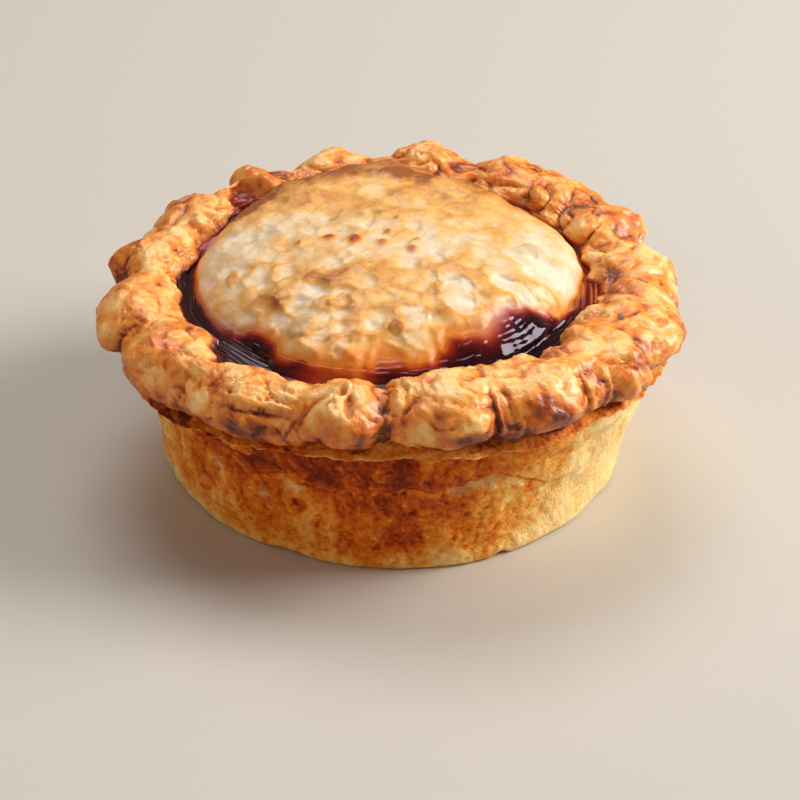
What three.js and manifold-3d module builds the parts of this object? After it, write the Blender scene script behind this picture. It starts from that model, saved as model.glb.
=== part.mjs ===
// A small double-crust fruit pie, turned out of its tin: one solid of baked pastry with a crimped rim and a
// domed lid, and the dark fruit syrup that has boiled up in the moat between them.
// Millimetres, +Z up, origin at the middle of the base. Angles are in degrees, anticlockwise from +X seen from
// above, and the front is towards -Y.
import * as THREE from "three";
import { mergeVertices } from "three/addons/utils/BufferGeometryUtils.js";
import Module from "manifold-3d";

const { smoothstep, lerp, degToRad, euclideanModulo } = THREE.MathUtils;

// Driving dimensions
const RIM_RADIUS = 70; // to the tips of the crimps
const RIM_HEIGHT = 50; // table to the rim's crown
const WALL_HEIGHT = 36; // table to the underside of the rim
const WALL_TOP_RADIUS = 62.6;
const BASE_RADIUS = 56.5;
const BASE_ROUND = 1.6; // the corner at the foot of the wall
const WALL_BULGE = 2.8; // how far the wall's curve is pulled out over the base's edge
const LID_HEIGHT = 55;
const LID_CAP_RADIUS = 24; // the round top of the lid, the same at every angle
const LID_CAP_DROP = 1.7; // from the top of the lid to the edge of that cap
const MOAT_FLOOR = 40.5;
const SYRUP_LEVEL = 43.9;
const SYRUP_GAP = 0.35; // clearance between syrup and pastry
const SYRUP_INNER = 30; // the syrup reaches no nearer to the middle than this
const SYRUP_OUTER = 56; // and no farther out

// Crimps, the rim's lobes: the angle of each one's middle, its reach and rise over the mean rim, how far its
// underside hangs, and how hard the pinch after it is pressed, as a share of a full pinch
const CRIMPS = [
  [5, 0, 0, 0, 1], [27, -0.2, 0.4, 0, 0.4], [48, 0.4, 0.4, 0, 0.25], [66, -0.2, 0.2, 0, 0.9],
  [84, 0.6, 1.4, 0, 1], [105, 0.6, 1, 0, 1], [125, 0.8, 0.8, 0, 1], [147, 0.8, 0.2, 0, 0.7],
  [171, 0.6, 0, 0.4, 0.8], [192, 2.4, -0.8, 1.4, 0.7], [211, 2.2, -1.2, 2, 0.5], [236, 0.6, -1, 0.6, 0.8],
  [260, 0, 0, 0, 1.1], [280, 0.2, 0.6, 0, 1], [298, 0, 0.6, 0.2, 1.1], [316, 0.6, 0.4, 0.8, 0.8],
  [331, 1.4, 0, 1.4, 0.8], [345, 1.2, -0.4, 0.8, 1],
];
const PINCH_DEPTH = 5; // how far a full pinch presses the outer edge in
const PINCH_DIP = 2.8; // and the crown down
const PINCH_SWELL = 1.2; // and how far it draws the inner edge out
const PINCH_SHARPNESS = 2.3; // higher makes lobes blunter and pinches narrower

// The moat round the pie: an angle, the radius of the lid's edge there, the rim's inner radius and the height
// the lid's edge stands at. In front the syrup has eaten into the lid; behind, lid and rim all but meet
const MOAT = [
  [0, 46.5, 49.6, 46], [30, 46.2, 50, 46.5], [50, 47, 50.5, 47.5], [66, 48.5, 52, 49],
  [95, 52, 55, 51.6], [125, 51.5, 55, 50.5], [150, 48.5, 53.5, 47.5], [192, 47, 53, 46],
  [217, 41.5, 52.5, 44.8], [240, 44.5, 52, 45.6], [267, 42, 52, 45], [279, 43, 52, 45.4],
  [297, 40, 52, 44.8], [317, 37.5, 51.5, 44.6], [338, 44.5, 50, 45.6],
];

// Blisters: low bubbles and hollows in the lid's top layer, spread by the golden angle
const BLISTERS = 34;
const BLISTER_SPREAD = 44; // the farthest one from the middle
const BLISTER_RADIUS = 6.5;
const BLISTER_HEIGHT = 0.8;
const GOLDEN_ANGLE = Math.PI * (3 - Math.sqrt(5));

// The wall's collar, a swollen band under the rim, and the slow wave in and out of the whole wall
const COLLAR_HEIGHT = 30;
const COLLAR_HALF_HEIGHT = 4.5;
const COLLAR_SWELL = 1.2;
const WALL_WAVE = 0.5;

const SECTORS = 126; // steps round the pie
const SYRUP_RINGS = 6; // steps across the syrup's top

// A smooth hump: 1 at the middle, 0 from one half-width away
function hump(distance, halfWidth) {
  return 1 - smoothstep(Math.abs(distance), 0, halfWidth);
}

// The two entries of a list, each starting with its angle, that an angle lies between, and how far along it is
function neighbours(list, degrees) {
  const next = list.findIndex((entry) => entry[0] > degrees);
  const after = list[Math.max(next, 0)];
  const before = list.at(next === -1 ? -1 : next - 1);
  const share = euclideanModulo(degrees - before[0], 360) / euclideanModulo(after[0] - before[0], 360);
  return { before, after, share };
}

// The rim's reach and rise at an angle, with its pinches: 0 on a lobe's middle, 1 in a full pinch
function crimpAt(degrees) {
  const { before, after, share } = neighbours(CRIMPS, degrees);
  const fromLobe = 2 * Math.min(share, 1 - share);
  const blend = smoothstep(share, 0.3, 0.7);
  return {
    reach: lerp(before[1], after[1], blend),
    rise: lerp(before[2], after[2], blend),
    hang: lerp(before[3], after[3], blend),
    pinch: before[4] * fromLobe ** PINCH_SHARPNESS,
  };
}

// The moat's own measures at an angle
function moatAt(degrees) {
  const { before, after, share } = neighbours(MOAT, degrees);
  const blend = smoothstep(share, 0, 1);
  const [lidRadius, rimInner, lidEdge] = [1, 2, 3].map((i) => lerp(before[i], after[i], blend));
  const open = smoothstep(rimInner - lidRadius, 2.5, 4.5);
  return { lidRadius, rimInner, lidEdge, floor: lerp(lidEdge - 3, MOAT_FLOOR, open) };
}

// How far the wall stands out at an angle, for the collar and the wave
function wallSwell(height, degrees) {
  const angle = degToRad(degrees);
  const wave = WALL_WAVE * (Math.sin(2 * angle + 0.6) + 0.6 * Math.sin(5 * angle + 2.1));
  const collar = COLLAR_SWELL * hump(height - COLLAR_HEIGHT, COLLAR_HALF_HEIGHT);
  return collar + wave * smoothstep(height, 0, 8);
}

// The pie's section at an angle, from the middle of the base, up the wall, over the rim, through the moat and
// up to the top of the lid. Sections at all angles have the same number of points
function sectionAt(degrees) {
  const point = (radius, height) => new THREE.Vector2(radius, height);
  const { reach, rise, hang, pinch } = crimpAt(degrees);
  const { lidRadius, rimInner, lidEdge, floor } = moatAt(degrees);

  const foot = point(BASE_RADIUS - BASE_ROUND, 0);
  const wallFoot = point(BASE_RADIUS + 0.2 * BASE_ROUND, BASE_ROUND);
  const wallPull = point(BASE_RADIUS + WALL_BULGE, WALL_HEIGHT / 2);
  const wallTop = point(WALL_TOP_RADIUS, WALL_HEIGHT);
  const plainWall = new THREE.QuadraticBezierCurve(wallFoot, wallPull, wallTop).getPoints(8);
  const wall = plainWall.map(({ x, y }) => point(x + wallSwell(y, degrees), y));

  const outer = RIM_RADIUS + reach - PINCH_DEPTH * pinch;
  const inner = rimInner + PINCH_SWELL * (pinch - 0.5);
  const crown = RIM_HEIGHT + rise - PINCH_DIP * pinch;
  const underside = WALL_HEIGHT - hang;
  const floorOuter = point(rimInner - 1.5, floor);
  const floorInner = point(lidRadius - 0.3, floor);
  const rim = new THREE.SplineCurve([
    wall.at(-1),
    point(lerp(WALL_TOP_RADIUS, outer, 0.55), lerp(underside, crown, 0.04)),
    point(outer - 0.6, lerp(underside, crown, 0.3)),
    point(outer - 0.8, lerp(underside, crown, 0.62)),
    point(outer - 4.4, lerp(underside, crown, 0.91)),
    point(lerp(inner, outer, 0.5), crown),
    point(inner + 4, lerp(floor, crown, 0.82)),
    point(inner + 1.2, lerp(floor, crown, 0.5)),
    point(inner - 0.6, lerp(floor, crown, 0.2)),
    floorOuter,
  ]);

  const lidLip = point(lidRadius, lerp(floor, lidEdge, 0.7));
  const lidStart = point(lidRadius - 2, lidEdge);
  const capEdge = point(LID_CAP_RADIUS, LID_HEIGHT - LID_CAP_DROP);
  const capPull = point(LID_CAP_RADIUS / 2, LID_HEIGHT);
  const shoulder = point(lidStart.x - 3, Math.max(lidEdge + 4, capEdge.y - 3.5));
  const underCap = capEdge.clone().lerp(capPull, -0.6);

  return [
    point(0, 0),
    ...new THREE.LineCurve(point(0, 0), foot).getPoints(2).slice(1),
    ...new THREE.QuadraticBezierCurve(foot, point(BASE_RADIUS, 0), wallFoot).getPoints(2).slice(1),
    ...wall.slice(1),
    ...rim.getPoints(15).slice(1),
    ...new THREE.LineCurve(floorOuter, floorInner).getPoints(3).slice(1),
    ...new THREE.QuadraticBezierCurve(floorInner, lidLip, lidStart).getPoints(2).slice(1),
    ...new THREE.CubicBezierCurve(lidStart, shoulder, underCap, capEdge).getPoints(6).slice(1),
    ...new THREE.QuadraticBezierCurve(capEdge, capPull, point(0, LID_HEIGHT)).getPoints(4).slice(1),
  ];
}

const blisters = Array.from({ length: BLISTERS }, (_, i) => {
  const radius = BLISTER_SPREAD * Math.sqrt((i + 0.5) / BLISTERS);
  const height = BLISTER_HEIGHT * (i % 3 === 0 ? -1 : 1);
  return { x: radius * Math.cos(i * GOLDEN_ANGLE), y: radius * Math.sin(i * GOLDEN_ANGLE), height };
});

// How far the blisters lift a place on the lid
function blisterRise(x, y) {
  return blisters.reduce((sum, b) => sum + b.height * hump(Math.hypot(x - b.x, y - b.y), BLISTER_RADIUS), 0);
}

// A closed mesh lathed from a section, which may change with the angle
function lathed(sectionFor, lift) {
  const lathe = new THREE.LatheGeometry(sectionFor(0), SECTORS);
  const place = lathe.getAttribute("position");
  const rings = place.count / (SECTORS + 1);
  for (let step = 0; step <= SECTORS; step++) {
    const degrees = (360 * (step % SECTORS)) / SECTORS;
    const angle = degToRad(degrees);
    sectionFor(degrees).forEach(({ x: radius, y: height }, ring) => {
      const [x, y] = [radius * Math.cos(angle), radius * Math.sin(angle)];
      place.setXYZ(step * rings + ring, x, y, height + lift(x, y, height, degrees));
    });
  }
  lathe.deleteAttribute("normal");
  lathe.deleteAttribute("uv");
  return mergeVertices(lathe, 1e-3);
}

// The pastry, with its blisters on the lid only
function makeCrust() {
  return lathed(sectionAt, (x, y, height, degrees) => {
    if (height < WALL_HEIGHT) return 0;
    const { lidRadius } = moatAt(degrees);
    return blisterRise(x, y) * (1 - smoothstep(Math.hypot(x, y), 0.72 * lidRadius, lidRadius - 2));
  });
}

const wasm = await Module();
wasm.setup();

function solidOf(geometry) {
  const vertProperties = new Float32Array(geometry.getAttribute("position").array);
  const triVerts = new Uint32Array(geometry.index.array);
  return new wasm.Manifold(new wasm.Mesh({ numProp: 3, vertProperties, triVerts }));
}

function geometryOf(solid) {
  const { vertProperties, triVerts } = solid.getMesh();
  const geometry = new THREE.BufferGeometry();
  geometry.setAttribute("position", new THREE.BufferAttribute(vertProperties, 3));
  geometry.setIndex(new THREE.BufferAttribute(triVerts, 1));
  geometry.computeVertexNormals();
  return geometry;
}

// The same mesh with every vertex moved out along its normal
function grown(geometry, distance) {
  const copy = geometry.clone();
  copy.computeVertexNormals();
  const place = copy.getAttribute("position");
  const normal = copy.getAttribute("normal");
  const at = new THREE.Vector3();
  const out = new THREE.Vector3();
  for (let i = 0; i < place.count; i++) {
    at.fromBufferAttribute(place, i).addScaledVector(out.fromBufferAttribute(normal, i), distance);
    place.setXYZ(i, at.x, at.y, at.z);
  }
  copy.deleteAttribute("normal");
  return copy;
}

// Syrup filling the moat to its level: a ring of that height, less the pastry round it. Drips left apart from
// the largest body are dropped
function makeSyrup(crust) {
  const underside = MOAT_FLOOR - 2;
  const section = [new THREE.Vector2(SYRUP_OUTER, underside)];
  for (let i = 0; i <= SYRUP_RINGS; i++) {
    section.push(new THREE.Vector2(lerp(SYRUP_OUTER, SYRUP_INNER, i / SYRUP_RINGS), SYRUP_LEVEL));
  }
  section.push(new THREE.Vector2(SYRUP_INNER, underside), section[0]);
  const ring = lathed(() => section, () => 0);
  const pools = solidOf(ring).subtract(solidOf(grown(crust, SYRUP_GAP))).decompose();
  return geometryOf(pools.reduce((a, b) => (a.volume() > b.volume() ? a : b)));
}

const pastry = new THREE.MeshStandardMaterial({ color: 0xd3903f, roughness: 0.6, metalness: 0 });
const fruitSyrup = new THREE.MeshStandardMaterial({ color: 0x3a0a0e, roughness: 0.12, metalness: 0 });

const pie = new THREE.Group();
const crust = makeCrust();
const crustMesh = new THREE.Mesh(crust, pastry);
crustMesh.name = "pastry_crust";
const syrupMesh = new THREE.Mesh(makeSyrup(crust), fruitSyrup);
syrupMesh.name = "fruit_syrup";
pie.add(crustMesh, syrupMesh);

export default pie;
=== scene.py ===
import math
from collections import namedtuple

import bpy
import numpy as np
from mathutils import Matrix, Vector


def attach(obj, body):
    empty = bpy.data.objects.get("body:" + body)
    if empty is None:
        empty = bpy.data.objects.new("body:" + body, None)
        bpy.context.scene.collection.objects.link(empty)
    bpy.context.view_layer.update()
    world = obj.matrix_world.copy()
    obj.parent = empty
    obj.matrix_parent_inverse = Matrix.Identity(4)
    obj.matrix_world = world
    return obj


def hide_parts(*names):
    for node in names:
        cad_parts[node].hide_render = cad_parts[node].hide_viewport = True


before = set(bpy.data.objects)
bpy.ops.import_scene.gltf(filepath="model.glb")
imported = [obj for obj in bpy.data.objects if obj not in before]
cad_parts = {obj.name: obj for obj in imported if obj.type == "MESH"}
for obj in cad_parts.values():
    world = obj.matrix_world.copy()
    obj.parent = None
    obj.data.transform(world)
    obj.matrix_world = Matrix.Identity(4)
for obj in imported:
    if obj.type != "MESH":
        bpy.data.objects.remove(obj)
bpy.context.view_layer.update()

MM = 0.001  # sizes below are in millimetres, and meshes are in metres

# The pie's sizes, as in the solids
RIM_RADIUS = 70
RIM_HEIGHT = 50
WALL_HEIGHT = 36
WALL_TOP_RADIUS = 62.6
BASE_RADIUS = 56.5
BASE_ROUND = 1.6
WALL_BULGE = 2.8
LID_HEIGHT = 55
LID_CAP_RADIUS = 24
LID_CAP_DROP = 1.7
MOAT_FLOOR = 40.5
SYRUP_LEVEL = 43.9
COLLAR_HEIGHT = 30
COLLAR_HALF_HEIGHT = 4.5
COLLAR_SWELL = 1.2
WALL_WAVE = 0.5

# Angles are in degrees round the pie: 0 is at the right, 90 behind, 180 at the left and 270 in front
FRONT = 288  # the middle of the narrow lobes in front
LEFT = 205  # the middle of the smooth lobes at the left
EAR = 200  # the end of the lobe that stands out most
BACK_GAP = 134.5  # where the moat cuts into the rim

# The pinches round the rim: angle and depth, then the reach, rise and hang of the lobe after each
PINCHES = np.array([
    (23.5, 1, 0.6, 0.8, 0), (38.2, 0.5, 0.6, 1.2, 0), (54.5, 0.1, 0.4, 1.6, 0), (74, 0.7, 0.6, 2.2, 0),
    (94, 0.9, 0.6, 1, 0), (118.5, 0.9, 0.6, 0.4, 0), (135.5, 0.9, 0.2, -0.4, 0), (161, 0.6, 2.4, -0.9, 1),
    (178, 0.7, 2.6, -0.8, 2.4), (201, 0.6, 3.2, -1.2, 5), (222, 0.7, 1.4, -2, 3.6), (248.5, 0.9, 0, -0.4, 1),
    (267.5, 0.8, -3.4, -0.8, 0), (274, 0.25, 0.2, 0.8, 0), (290.2, 0.65, -2.8, 0.4, 0), (294.8, 0.35, 0.6, 0.8, 0.2),
    (311, 0.65, -2.6, 0.2, 0.4), (317.5, 0.4, 0.8, 0.6, 0.6), (331, 0.7, 0.6, 0, 0.6), (355, 0.6, -1.6, -0.4, 0.4),
])
PINCH_DEPTH = 5
PINCH_DIP = 2.8
PINCH_SWELL = 1.2
LOBE_BOTTOM = 38.8

# The moat: angle, radius of the lid's edge, the rim's inner radius, height of the lid's edge, and radius at which
# syrup starts to lie on the lid
MOAT = np.array([
    (0, 43.2, 46.4, 45, 42.6), (12, 45.6, 47.8, 46, 45), (30, 47, 49, 46.5, 46.8), (45, 47, 49.5, 47, 47),
    (60, 47.5, 50, 48.5, 47.5), (75, 48.8, 51.5, 50, 49), (95, 52, 54.5, 51.6, 52), (127, 51.2, 54, 50.3, 51.2),
    (134.5, 50.5, 57.5, 49.5, 50.5), (142, 50, 52.5, 48.8, 50), (150, 49.5, 52, 48, 49.5),
    (165, 49.6, 51.6, 46.5, 49.2), (172, 50.2, 52.8, 46.2, 49.6), (185, 49.6, 53.2, 45.8, 48.8),
    (198, 48.4, 52.4, 45.4, 47.6), (207, 48, 51.2, 45.4, 47.2), (213, 47.4, 51, 45.2, 46),
    (219, 46.6, 53, 44.8, 42.8), (224, 46.8, 54.5, 44.8, 42.2), (229, 47.4, 52.4, 45, 43),
    (235, 48.6, 52, 45.4, 46.2), (244, 48.8, 52, 45.6, 46), (251, 47.8, 51, 45.5, 45), (256, 47, 50, 45.4, 43.4),
    (260, 46, 49.5, 45, 41.4), (264, 45.4, 49, 44.8, 39.2), (269, 45, 48.5, 44.8, 39.2), (275, 45, 47.5, 45, 41),
    (279, 44.6, 46.8, 45, 40.4), (284, 43.6, 46.4, 44.8, 37), (289, 43, 46.4, 44.6, 33.8), (297, 43, 46.6, 44.6, 34),
    (304, 43, 47.4, 44.6, 35), (312, 42.6, 48.4, 44.6, 33), (320, 42, 47.8, 44.6, 32.2), (328, 41.8, 45.6, 44.8, 34),
    (335, 41, 44.8, 45, 37.6), (341, 41, 45, 44.8, 40), (350, 41.6, 45.4, 44.8, 41),
])


# Small sums on arrays of places

def step(x, low, high):
    """0 below low, 1 above high, smooth between"""
    t = np.clip((x - low) / (high - low), 0, 1)
    return t * t * (3 - 2 * t)


def hump(x, middle, half_width):
    """1 at the middle, 0 from one half-width away"""
    return 1 - step(np.abs(x - middle), 0, half_width)


def turn_from(degrees, middle):
    """How far round the pie an angle is from another, from -180 to 180"""
    return (degrees - middle + 180) % 360 - 180


def toward(degrees, middle, half_width):
    """1 at an angle round the pie, 0 from one half-width away"""
    return hump(turn_from(degrees, middle), 0, half_width)


def mix(a, b, share):
    """a where share is 0, b where it is 1"""
    return a + (b - a) * share


def upright(degrees, radius, height):
    """Places in space from an angle, a radius and a height"""
    angle = np.radians(degrees)
    return np.stack(np.broadcast_arrays(radius * np.cos(angle), radius * np.sin(angle), height), 1)


def nearest_step(degrees, steps):
    """The step round the pie that is nearest to each angle"""
    return np.round(degrees / 360 * steps).astype(int) % steps


# Repeatable random bumps: each seed gives bumps of its own

def lattice(at, seed):
    """A fixed random number from 0 to 1 for each whole-number place"""
    i, j, k = at.T
    h = (i * 374761393 + j * 668265263 + k * 1440662683 + seed * 1274126177) & 0xFFFFFFFF
    h = ((h ^ (h >> 13)) * 1274126177) & 0xFFFFFFFF
    h = ((h ^ (h >> 15)) * 1103515245) & 0xFFFFFFFF
    return ((h ^ (h >> 16)) & 0xFFFFFF) / 0x1000000


def bumps(p, size, seed):
    """Smooth random bumps about size across, from about -1 to 1"""
    q = p / size
    low = np.floor(q).astype(np.int64)
    f = q - low
    fade = f * f * f * (f * (f * 6 - 15) + 10)
    total = np.zeros(len(p))
    for corner in np.ndindex(2, 2, 2):
        c = np.array(corner)
        slope = np.stack([lattice(low + c, seed * 3 + n) for n in range(3)], 1) * 2 - 1
        total += np.prod(np.where(c, fade, 1 - fade), 1) * np.sum(slope * (f - c), 1)
    return 1.7 * total


def rough(p, size, seed, octaves=3):
    """Bumps with finer bumps on them"""
    return sum(bumps(p, size / 2 ** n, seed + 17 * n) / 2 ** n for n in range(octaves))


def warped(p, size, seed, far):
    """Places pushed about by bumps, by about far at most"""
    return p + far * np.stack([bumps(p, size, seed + n) for n in range(3)], 1)


def layered(p, size, seed, levels):
    """Bumps cut into levels with crisp edges, like flaking layers"""
    q = levels * rough(p, size, seed)
    low = np.floor(q)
    return (low + step(q - low, 0.36, 0.64)) / levels


def scaly(p, size, seed, levels):
    """0 to 1 up a slope to the edge of each scale, then down again at once"""
    q = levels * rough(p, size, seed)
    rise = q - np.floor(q)
    return rise * (1 - step(rise, 0.84, 1))


def cells(p, size, seed):
    """For spots scattered about size apart: the distance to the nearest, as a share of size, and a random number
    of its own"""
    q = p / size
    low = np.floor(q).astype(np.int64)
    near = np.full(len(p), np.inf)
    own = np.zeros(len(p))
    for shift in np.ndindex(3, 3, 3):
        at = low + np.array(shift) - 1
        spot = at + np.stack([lattice(at, seed * 3 + n) for n in range(3)], 1)
        distance = np.linalg.norm(q - spot, axis=1)
        closer = distance < near
        own = np.where(closer, lattice(at, seed * 3 + 7), own)
        near = np.where(closer, distance, near)
    return near, own


# The pie's form: the solids' sizes, with pinches and a moat nearer to the photograph

def round_table(table, degrees):
    """The rows of a table, by angle, before and after each angle, and how far it is between them"""
    i = np.searchsorted(table[:, 0], degrees, side="right")
    before = table[i - 1]
    after = table[i % len(table)]
    share = ((degrees - before[:, 0]) % 360) / ((after[:, 0] - before[:, 0]) % 360)
    return before, after, share


Crimp = namedtuple("Crimp", "reach rise hang pinch from_lobe")
Moat = namedtuple("Moat", "lid inner edge floor shore")
LOBE_END = 0.35  # the share of a lobe that blends into the next


def crimp_at(degrees):
    """Reach, rise and hang of the rim, how far it is pinched, and how near a pinch is, times its depth"""
    before, after, share = round_table(PINCHES, degrees)
    previous = np.roll(PINCHES, 1, 0)[np.searchsorted(PINCHES[:, 0], degrees, side="right") - 1]
    lobe = before[:, 2:5]
    lobe = mix(lobe, (lobe + previous[:, 2:5]) / 2, 1 - step(share, 0, LOBE_END)[:, None])
    lobe = mix(lobe, (before[:, 2:5] + after[:, 2:5]) / 2, step(share, 1 - LOBE_END, 1)[:, None])
    reach, rise, hang = lobe.T
    from_lobe = np.abs(2 * share - 1)
    depth = np.where(share < 0.5, before[:, 1], after[:, 1])
    # Pinches are broad dips, but narrow at the front
    narrow = toward(degrees, FRONT, 60)
    dip = mix(step(from_lobe, 0, 1), 0.75 * from_lobe ** 2 + 0.25 * from_lobe ** 8, narrow)
    return Crimp(reach, rise, hang, depth * dip, depth * from_lobe)


def moat_at(degrees):
    """Radius of the lid's edge, the rim's inner radius, the lid's edge height, the moat's floor, and where syrup
    starts on the lid"""
    before, after, share = round_table(MOAT, degrees)
    lid, inner, edge, shore = mix(before, after, step(share, 0, 1)[:, None])[:, 1:5].T
    # Where the moat is narrow, it is shallow
    floor = mix(edge - 3, MOAT_FLOOR, step(inner - lid, 2.5, 4.5))
    return Moat(lid, inner, edge, floor, shore)


def past_shore(p):
    """How far each place is past the line on the lid where syrup starts, less than 0 on the dry side"""
    line = np.arange(0, 360, 0.5)
    shore = upright(line, moat_at(line).shore, 0)[:, :2]
    away = np.empty(len(p))
    batch = 4000  # places at a time, to save memory
    for first in range(0, len(p), batch):
        some = p[first:first + batch, None, :2] - shore
        away[first:first + batch] = np.sqrt(np.min(np.sum(some * some, 2), 1))
    degrees = np.degrees(np.arctan2(p[:, 1], p[:, 0])) % 360
    return np.where(np.hypot(p[:, 0], p[:, 1]) > moat_at(degrees).shore, away, -away)


def plum_at(degrees):
    """Where the juice is plum red: front right and left"""
    return np.maximum(toward(degrees, 318, 26), toward(degrees, 205, 24))


def through(points, t):
    """Places on a smooth curve through points, t running from 0 to the last point"""
    p = np.stack([np.stack(np.broadcast_arrays(*pair, t)[:2], 1) for pair in points])
    k = np.clip(np.floor(t).astype(int), 0, len(points) - 2)
    f = (t - k)[:, None]
    row = np.arange(len(t))
    a, b, c, d = (p[np.clip(k + n, 0, len(points) - 1), row] for n in (-1, 0, 1, 2))
    return 0.5 * (2 * b + (c - a) * f + (2 * a - 5 * b + 4 * c - d) * f ** 2 + (3 * b - a - 3 * c + d) * f ** 3)


def bezier(points, t):
    """Places on a Bezier curve, t running from 0 to 1"""
    p = [np.stack(np.broadcast_arrays(*pair, t)[:2], 1) for pair in points]
    t = t[:, None]
    while len(p) > 1:
        p = [mix(a, b, t) for a, b in zip(p, p[1:])]
    return p[0]


def spans(along, *parts):
    """The first part where along is up to 1, the next one up to 2, and so on"""
    section = parts[0]
    for n, part in enumerate(parts[1:], 1):
        section = np.where((along > n)[:, None], part, section)
    return section


def wall_swell(height, degrees):
    """How far the wall stands out, for its collar and its slow wave"""
    angle = np.radians(degrees)
    wave = WALL_WAVE * (np.sin(2 * angle + 0.6) + 0.6 * np.sin(5 * angle + 2.1))
    return COLLAR_SWELL * hump(height, COLLAR_HEIGHT, COLLAR_HALF_HEIGHT) + wave * step(height, 0, 8)


# Making and shaping meshes

TOUCHING = 0.001 * MM  # points this close are one
ROUGH_RADIUS, ROUGH_HEIGHT, ROUGH_ROUND = 60, 40, 10  # of a section that has no shape yet


def turned(name, along, closed, steps):
    """A body turned round the Z axis. Its section has one point for each number in along, which every copy of the
    point keeps, to say where on the section it belongs"""
    bpy.ops.object.select_all(action="DESELECT")
    bpy.ops.mesh.primitive_circle_add(vertices=len(along), radius=ROUGH_ROUND * MM)
    piece = bpy.context.object
    piece.name = piece.data.name = name
    mesh = piece.data
    if closed:
        angle = np.linspace(0, 2 * np.pi, len(along), endpoint=False)
        radius = ROUGH_RADIUS + ROUGH_ROUND * np.cos(angle)
        height = ROUGH_HEIGHT + ROUGH_ROUND * np.sin(angle)
    else:
        # Both ends are on the axis, and nothing joins them
        share = np.linspace(0, 1, len(along))
        radius = ROUGH_RADIUS * np.sin(share * np.pi)
        radius[[0, -1]] = 0
        height = LID_HEIGHT * share
    section = np.stack([radius, 0 * radius, height], 1)
    mesh.vertices.foreach_set("co", (section * MM).ravel())
    mesh.attributes.new("along", "FLOAT", "POINT").data.foreach_set("value", np.array(along, np.float32))
    bpy.ops.object.mode_set(mode="EDIT")
    bpy.ops.mesh.select_all(action="DESELECT")
    bpy.ops.object.mode_set(mode="OBJECT")
    if not closed:
        for n in (0, len(along) - 1):
            mesh.vertices[n].select = True
        bpy.ops.object.mode_set(mode="EDIT")
        bpy.ops.mesh.select_mode(type="EDGE")
        bpy.ops.mesh.delete(type="EDGE_FACE")
        bpy.ops.mesh.select_mode(type="VERT")
        bpy.ops.object.mode_set(mode="OBJECT")
    screw = piece.modifiers.new("turn", "SCREW")
    screw.axis = "Z"
    screw.angle = 2 * math.pi
    screw.steps = screw.render_steps = steps
    screw.use_merge_vertices = True
    screw.merge_threshold = TOUCHING
    bpy.ops.object.modifier_apply(modifier="turn")
    bpy.ops.object.mode_set(mode="EDIT")
    bpy.ops.mesh.select_all(action="SELECT")
    bpy.ops.mesh.remove_doubles(threshold=TOUCHING)
    bpy.ops.mesh.normals_make_consistent(inside=False)
    bpy.ops.object.mode_set(mode="OBJECT")
    bpy.ops.object.shade_smooth()
    return piece


def places(piece):
    """A piece's vertices: where on the section and at which angle each one is"""
    mesh = piece.data
    co = np.empty(len(mesh.vertices) * 3)
    mesh.vertices.foreach_get("co", co)
    co = co.reshape(-1, 3)
    along = np.empty(len(co))
    mesh.attributes["along"].data.foreach_get("value", along)
    return along, np.degrees(np.arctan2(co[:, 1], co[:, 0])) % 360


def put(piece, p):
    """Moves a piece's vertices to p, and returns the way out from the surface at each"""
    mesh = piece.data
    mesh.vertices.foreach_set("co", (p * MM).ravel())
    mesh.update()
    out = np.empty(len(mesh.vertices) * 3)
    mesh.vertex_normals.foreach_get("vector", out)
    return out.reshape(-1, 3)


def hollows(p, out, along, degrees, steps, reach):
    """How far each place lies in below those up to reach vertices away, in millimetres"""
    rings = np.unique(along)
    ring = np.searchsorted(rings, along)
    turn = nearest_step(degrees, steps)
    net = np.zeros((steps, len(rings), 3))
    net[turn, ring] = p
    shifts = range(-reach, reach + 1)
    net = sum(np.roll(net, n, 0) for n in shifts) / len(shifts)
    last = len(rings) - 1
    net = sum(net[:, np.clip(np.arange(len(rings)) + n, 0, last)] for n in shifts) / len(shifts)
    return np.sum((net[turn, ring] - p) * out, 1)


def paint(piece, **values):
    """Keeps a number per vertex, for the piece's material"""
    for name, value in values.items():
        layer = piece.data.attributes.new(name, "FLOAT", "POINT")
        layer.data.foreach_set("value", np.clip(value, 0, 1).astype(np.float32))


# Patches of crust. Each kind browns it by so much, stands out by so many millimetres, and has so soft an edge
PATCH_KINDS = {
    "blister": (-0.25, 1.6, 0.6), "crumb": (-0.15, 0.8, 0.4), "crack": (0.25, -0.45, 0.6),
    "toasted": (0.34, -0.15, 0.3), "brown": (0.2, 0, 0.35), "tan": (0.18, -0.2, 0.25),
    "gold": (0.1, 0, 0.35), "window": (0.1, -0.3, 0.25), "pale": (-0.2, 0.2, 0.35),
    "flake": (-0.26, 0.25, 0.14), "torn": (0.2, -1.1, 0.07), "grey": (-0.2, -0.5, 0.4),
    "scorched": (0.4, -0.4, 0.2), "curl": (-0.12, 0.9, 0.1),
}
PATCH_EDGE = 0.95  # the middle of the soft edge, in half sizes
PATCH_REACH = 2.6  # beyond this, a patch has no effect
PATCH_SEED = 400


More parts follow.
